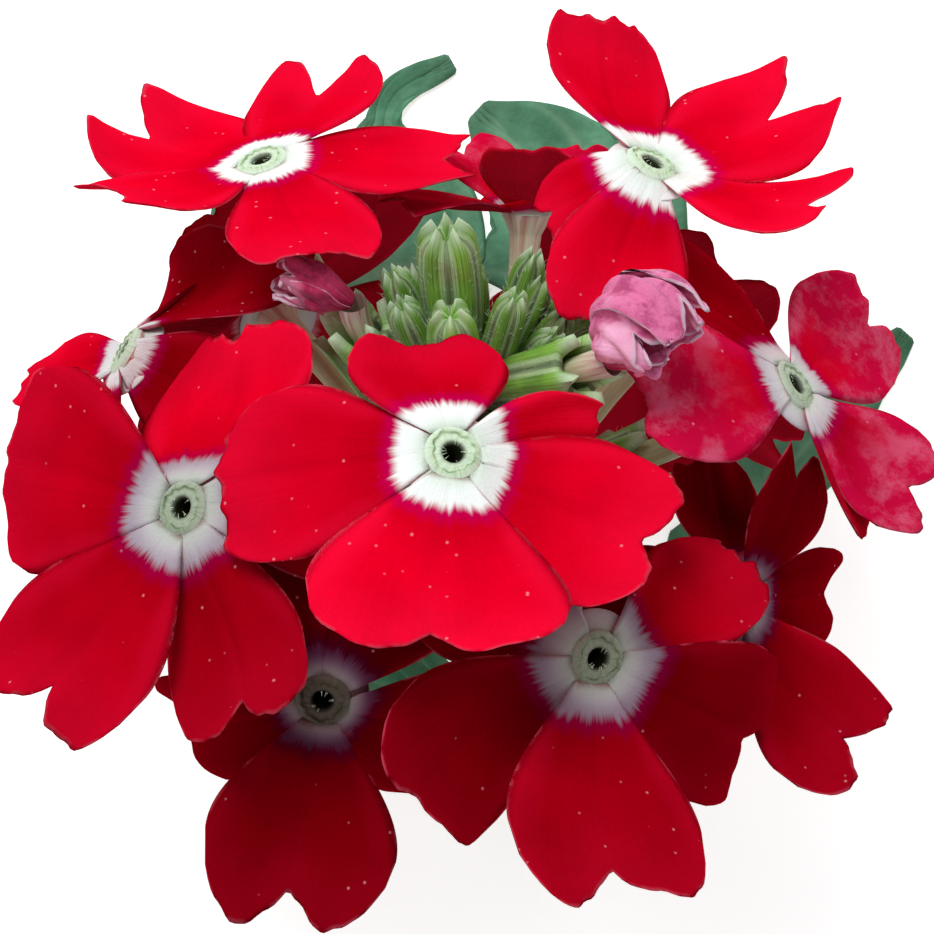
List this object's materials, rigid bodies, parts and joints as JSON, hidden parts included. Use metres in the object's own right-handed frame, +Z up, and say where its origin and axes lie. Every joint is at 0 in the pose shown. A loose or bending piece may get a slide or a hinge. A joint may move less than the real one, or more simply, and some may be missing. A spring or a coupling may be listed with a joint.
{
  "type": "verbena flower head",
  "caption": "Cut verbena head: white-eyed red two-lobed florets round green buds, on a short stem, lying on its toothed leaves.",
  "frame": {"origin": "on the surface that the leaves lie on, under the middle of the head's box", "axes": "+Z up from the surface, the side that the head shows; +Y away from the cut stem; +X to the right of it"},
  "size_m": [0.0544, 0.0512, 0.0497],
  "materials": {
    "petal_red": "velvety, with a white eye",
    "bud_pink": "velvety, mottled",
    "calyx_green": "finely hairy",
    "leaf_green": "matt, veined"
  },
  "bodies": {
    "root": {"stem_and_calyces": "calyx_green", "corolla_front": "petal_red", "corolla_left": "petal_red", "corolla_upper_left": "petal_red", "corolla_upper_right": "petal_red", "corolla_right": "petal_red", "corolla_far_left": "petal_red", "corolla_lower_left": "petal_red", "corolla_lower_right": "petal_red", "corolla_far_right": "petal_red", "corolla_top": "petal_red", "corolla_back_right": "petal_red", "corolla_back_left": "petal_red", "bud_corolla_right": "bud_pink", "bud_corolla_left": "bud_pink", "leaf_left": "leaf_green", "leaf_far_right": "leaf_green", "leaf_right": "leaf_green", "leaf_lower_left": "leaf_green"}
  },
  "joints": []
}
